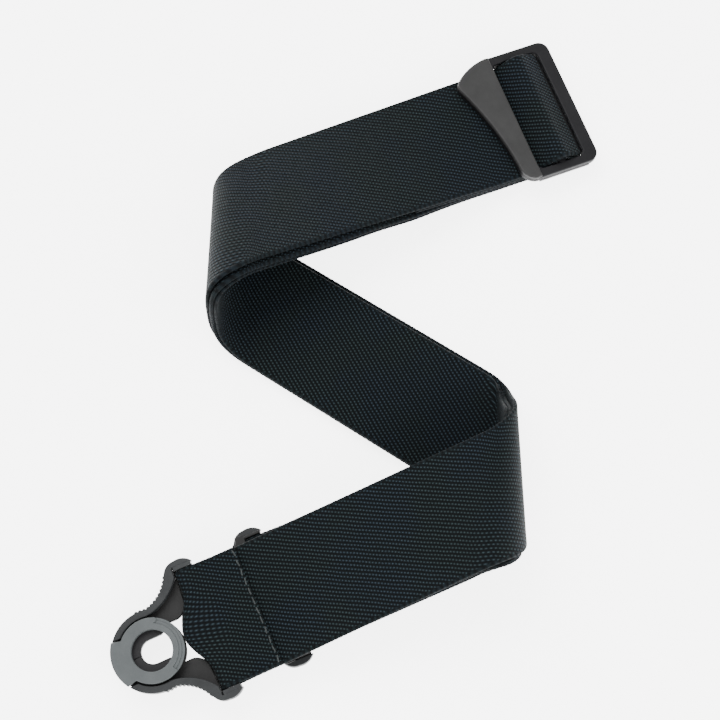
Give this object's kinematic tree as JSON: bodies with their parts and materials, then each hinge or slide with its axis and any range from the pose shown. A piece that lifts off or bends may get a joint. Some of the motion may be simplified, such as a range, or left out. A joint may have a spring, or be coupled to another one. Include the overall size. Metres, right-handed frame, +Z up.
{
  "type": "guitar strap",
  "caption": "Folded 50 mm webbing guitar strap with a tri-glide slider and a quick-release button lock at each end, wound in a flat Z.",
  "frame": {"origin": "on the table, under the middle of the laid strap's bounding box", "axes": "+Z up from the table, +Y from the locks towards the slider along the layout's long side, the folds' rulings run nearly along Y"},
  "size_m": [0.1816, 0.2896, 0.0427],
  "materials": {
    "webbing": "twill weave, matte",
    "thread": "spun thread",
    "black_nylon": "fine texture",
    "grey_nylon": "satin",
    "grip_nylon": "satin",
    "jaw_nylon": "satin",
    "steel": "turned",
    "spring_steel": "polished strip"
  },
  "bodies": {
    "webbing": {"strap_run": "webbing", "loop_upper_run": "webbing", "loop_lower_run": "webbing", "lock_a_stitches": "thread", "slider_stitches": "thread"},
    "slider": {"slider_frame": "black_nylon"},
    "lock_a": {"lock_a_back_frame": "black_nylon", "lock_a_cover": "grey_nylon", "lock_a_cross_bar": "steel", "lock_a_lever_pins": "steel", "lock_a_jaw_pins": "steel", "lock_a_lever_springs": "spring_steel", "lock_a_cover_screws": "steel"},
    "lock_a_lever_left": {"lock_a_lever_left": "grip_nylon"},
    "lock_a_jaw_left": {"lock_a_jaw_left": "jaw_nylon"},
    "lock_a_lever_right": {"lock_a_lever_right": "grip_nylon"},
    "lock_a_jaw_right": {"lock_a_jaw_right": "jaw_nylon"},
    "lock_b": {"lock_b_back_frame": "black_nylon", "lock_b_cover": "grey_nylon", "lock_b_cross_bar": "steel", "lock_b_lever_pins": "steel", "lock_b_jaw_pins": "steel", "lock_b_lever_springs": "spring_steel", "lock_b_cover_screws": "steel"},
    "lock_b_lever_left": {"lock_b_lever_left": "grip_nylon"},
    "lock_b_jaw_left": {"lock_b_jaw_left": "jaw_nylon"},
    "lock_b_lever_right": {"lock_b_lever_right": "grip_nylon"},
    "lock_b_jaw_right": {"lock_b_jaw_right": "jaw_nylon"}
  },
  "joints": [
    {"name": "slider_tilt", "type": "hinge", "parent": "webbing", "child": "slider", "pos_m": [0.06494, 0.11286, 0.0096], "axis": [-0.4415, 0.8973, 0], "range_deg": [0, 15]},
    {"name": "lock_a_swing", "type": "hinge", "parent": "webbing", "child": "lock_a", "pos_m": [-0.05413, -0.11702, 0.01201], "axis": [-0.4617, 0.887, 0], "range_deg": [0, 75]},
    {"name": "lock_a_lever_left_squeeze", "type": "hinge", "parent": "lock_a", "child": "lock_a_lever_left", "pos_m": [-0.07038, -0.09786, 0.01242], "axis": [-0.0773, -0.0402, 0.9962], "range_deg": [0, 2], "stiffness_Nm_per_rad": 0.3, "springref_deg": -2.86},
    {"name": "lock_a_jaw_left_open", "type": "hinge", "parent": "lock_a", "child": "lock_a_jaw_left", "pos_m": [-0.08628, -0.12756, 0.00919], "axis": [-0.0773, -0.0402, 0.9962], "range_deg": [0, 11]},
    {"name": "lock_a_lever_right_squeeze", "type": "hinge", "parent": "lock_a", "child": "lock_a_lever_right", "pos_m": [-0.04775, -0.14132, 0.01242], "axis": [0.0773, 0.0402, -0.9962], "range_deg": [0, 2], "stiffness_Nm_per_rad": 0.3, "springref_deg": -2.86},
    {"name": "lock_a_jaw_right_open", "type": "hinge", "parent": "lock_a", "child": "lock_a_jaw_right", "pos_m": [-0.0812, -0.13731, 0.00919], "axis": [0.0773, 0.0402, -0.9962], "range_deg": [0, 11]},
    {"name": "lock_b_swing", "type": "hinge", "parent": "webbing", "child": "lock_b", "pos_m": [-0.0287, -0.10096, 0.0043], "axis": [0.4617, -0.887, 0], "range_deg": [0, 75]},
    {"name": "lock_b_lever_left_squeeze", "type": "hinge", "parent": "lock_b", "child": "lock_b_lever_left", "pos_m": [-0.02227, -0.12524, 0.0034], "axis": [0, 0, -1], "range_deg": [0, 2], "stiffness_Nm_per_rad": 0.3, "springref_deg": -2.86},
    {"name": "lock_b_jaw_left_open", "type": "hinge", "parent": "lock_b", "child": "lock_b_jaw_left", "pos_m": [-0.05588, -0.12131, 0.0042], "axis": [0, 0, -1], "range_deg": [0, 11]},
    {"name": "lock_b_lever_right_squeeze", "type": "hinge", "parent": "lock_b", "child": "lock_b_lever_right", "pos_m": [-0.04489, -0.08177, 0.0034], "axis": [0, 0, 1], "range_deg": [0, 2], "stiffness_Nm_per_rad": 0.3, "springref_deg": -2.86},
    {"name": "lock_b_jaw_right_open", "type": "hinge", "parent": "lock_b", "child": "lock_b_jaw_right", "pos_m": [-0.06096, -0.11156, 0.0042], "axis": [0, 0, 1], "range_deg": [0, 11]}
  ],
  "couplings": [
    {"joint": "lock_a_jaw_left_open", "follows": "lock_a_lever_left_squeeze", "ratio": 5.5},
    {"joint": "lock_a_jaw_right_open", "follows": "lock_a_lever_right_squeeze", "ratio": 5.5},
    {"joint": "lock_b_jaw_left_open", "follows": "lock_b_lever_left_squeeze", "ratio": 5.5},
    {"joint": "lock_b_jaw_right_open", "follows": "lock_b_lever_right_squeeze", "ratio": 5.5}
  ]
}
